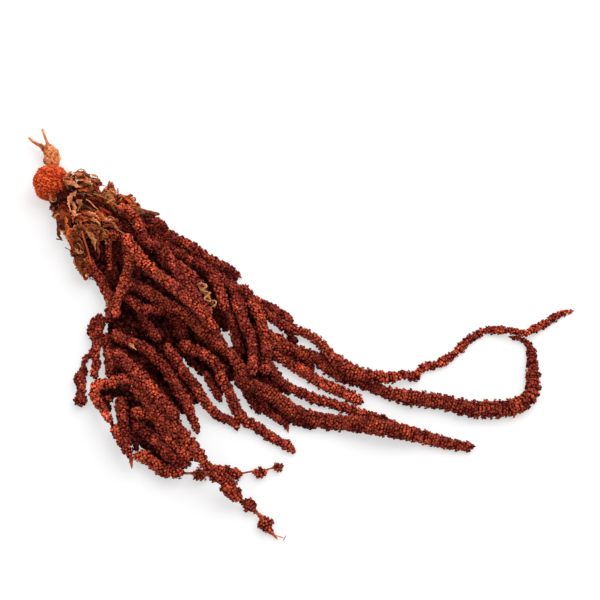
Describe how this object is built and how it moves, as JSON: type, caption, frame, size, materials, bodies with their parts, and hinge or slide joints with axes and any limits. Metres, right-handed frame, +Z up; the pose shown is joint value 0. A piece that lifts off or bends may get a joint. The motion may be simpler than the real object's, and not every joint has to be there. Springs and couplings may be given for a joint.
{
  "type": "dried amaranth bunch",
  "caption": "Dried hanging amaranth bunch lying flat: a cut stalk with a round floret head and crumpled leaves at its crown, fanning out into long tassels of florets.",
  "frame": {"origin": "a small flat spot on the underside of the hidden tassel in the middle of the pile, on the surface that the bunch lies on", "axes": "+X runs along the surface from the cut stalk's side towards the tip of the longest tassel, +Y across the surface towards the stalk's end, +Z up from the surface"},
  "size_m": [0.6198, 0.504, 0.057],
  "materials": {
    "florets_bright": "matte",
    "florets_dark": "matte",
    "florets_knob": "matte",
    "florets_red": "matte",
    "leaf_brown": "matte",
    "leaf_tan": "matte",
    "side_stem": "matte",
    "stalk": "matte"
  },
  "bodies": {
    "root": {"crown_knob": "florets_knob", "curl_small": "leaf_tan", "leaf_cross": "leaf_tan", "leaf_curl": "leaf_tan", "leaf_folded": "leaf_tan", "leaf_knob_side": "leaf_tan", "leaf_loop": "leaf_tan", "leaf_low": "leaf_brown", "leaf_mid": "leaf_brown", "leaf_narrow": "leaf_brown", "leaf_orange": "leaf_tan", "leaf_pointed": "leaf_brown", "leaf_ridge": "leaf_tan", "leaf_toothed": "leaf_brown", "leaf_upright": "leaf_tan", "side_stem": "side_stem", "stalk": "stalk", "tassel_crown_arch": "florets_red", "tassel_crown_far": "florets_red", "tassel_crown_left": "florets_bright", "tassel_crown_top": "florets_bright", "tassel_front_dark": "florets_dark", "tassel_front_left": "florets_red", "tassel_front_long": "florets_bright", "tassel_front_mid": "florets_red", "tassel_front_right": "florets_red", "tassel_front_short": "florets_dark", "tassel_front_spur": "florets_dark", "tassel_front_stub": "florets_dark", "tassel_inner_left": "florets_dark", "tassel_inner_mid": "florets_dark", "tassel_left_arc": "florets_bright", "tassel_left_beads": "florets_red", "tassel_left_bright": "florets_bright", "tassel_left_edge": "florets_red", "tassel_left_fat": "florets_red", "tassel_left_pair": "florets_red", "tassel_left_spur": "florets_red", "tassel_left_stub": "florets_red", "tassel_left_tail": "florets_bright", "tassel_left_thin": "florets_red", "tassel_low_spray": "florets_red", "tassel_mid_back": "florets_red", "tassel_mid_far": "florets_dark", "tassel_mid_one": "florets_red", "tassel_mid_right": "florets_red", "tassel_mid_two": "florets_red", "tassel_right_inner": "florets_red", "tassel_right_long": "florets_red", "tassel_right_loop": "florets_bright", "tassel_right_short": "florets_red", "tassel_right_thin": "florets_red", "tassel_top_edge": "florets_red", "tassel_under": "florets_dark", "under_arc": "florets_dark", "under_back": "florets_dark", "under_crown": "florets_dark", "under_front": "florets_dark", "under_left": "florets_dark", "under_middle": "florets_dark"}
  },
  "joints": []
}
